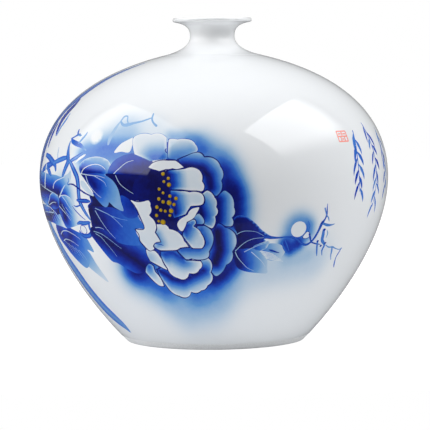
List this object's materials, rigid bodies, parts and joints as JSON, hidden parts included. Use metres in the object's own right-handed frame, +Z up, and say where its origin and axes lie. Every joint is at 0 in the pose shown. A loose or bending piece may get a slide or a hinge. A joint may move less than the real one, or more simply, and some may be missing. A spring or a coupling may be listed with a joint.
{
  "type": "porcelain vase",
  "caption": "Round-bellied porcelain vase with a narrow neck, a flared rim and a turned foot ring, hollow inside, to stand on a shelf and hold stems.",
  "frame": {"origin": "centre of the circle that the foot ring stands on", "axes": "+Z up the vase's axis towards the mouth; -Y is the painted front, with the large peony"},
  "size_m": [0.26, 0.26, 0.24],
  "materials": {
    "painted_porcelain": "clear high-gloss glaze over white porcelain painted in cobalt blue",
    "white_glaze": "clear high-gloss glaze over white porcelain",
    "bare_porcelain": "unglazed, fired matt, slightly warm",
    "slip": "fired slip under the glaze",
    "yellow_enamel": "raised overglaze enamel, glossy",
    "red_enamel": "thin overglaze enamel, glossy"
  },
  "bodies": {
    "root": {"foot_ring": "bare_porcelain", "foot_slip": "slip", "lower_body": "painted_porcelain", "belly_slip": "slip", "upper_body": "painted_porcelain", "shoulder_slip": "slip", "neck": "white_glaze"}
  },
  "joints": []
}
